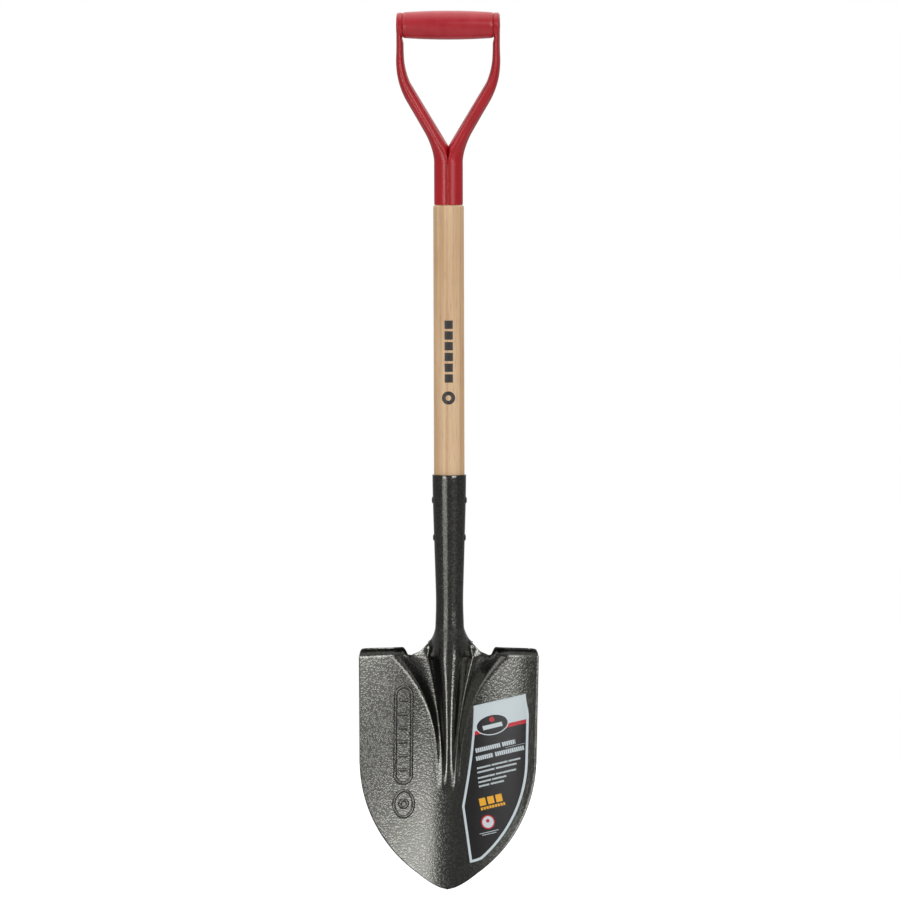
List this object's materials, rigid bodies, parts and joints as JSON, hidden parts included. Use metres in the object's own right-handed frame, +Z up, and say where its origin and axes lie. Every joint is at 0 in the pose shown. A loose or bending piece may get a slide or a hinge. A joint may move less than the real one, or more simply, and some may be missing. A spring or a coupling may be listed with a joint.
{
  "type": "round-point shovel",
  "caption": "D-handle round-point digging shovel: dished steel blade with foot steps and rolled socket, ash shaft, red steel yoke and barrel grip.",
  "frame": {"origin": "the middle of the underside of the D grip's crossbar, on the shaft's axis, where the shovel hangs on a hook", "axes": "+Z up along the shaft from the blade to the grip, +X to the right across the blade as seen from its digging face, -Y out of the digging face"},
  "size_m": [0.2234, 0.0961, 1.086],
  "materials": {
    "blade_paint": "hammered dark grey paint, satin",
    "ash_wood": "clear lacquer, satin",
    "rivet_steel": "dark grey paint over steel",
    "red_enamel": "glossy red enamel",
    "red_rivet": "red enamel over steel",
    "grip_paint": "red paint over hardwood, satin",
    "grip_rod_steel": "red paint over steel",
    "label_film": "printed film, satin"
  },
  "bodies": {
    "root": {"blade": "blade_paint", "handle_shaft": "ash_wood", "socket_rivet_upper": "rivet_steel", "socket_rivet_lower": "rivet_steel", "d_yoke": "red_enamel", "yoke_rivet": "red_rivet", "grip": "grip_paint", "grip_rod": "grip_rod_steel", "blade_label": "label_film"}
  },
  "joints": []
}
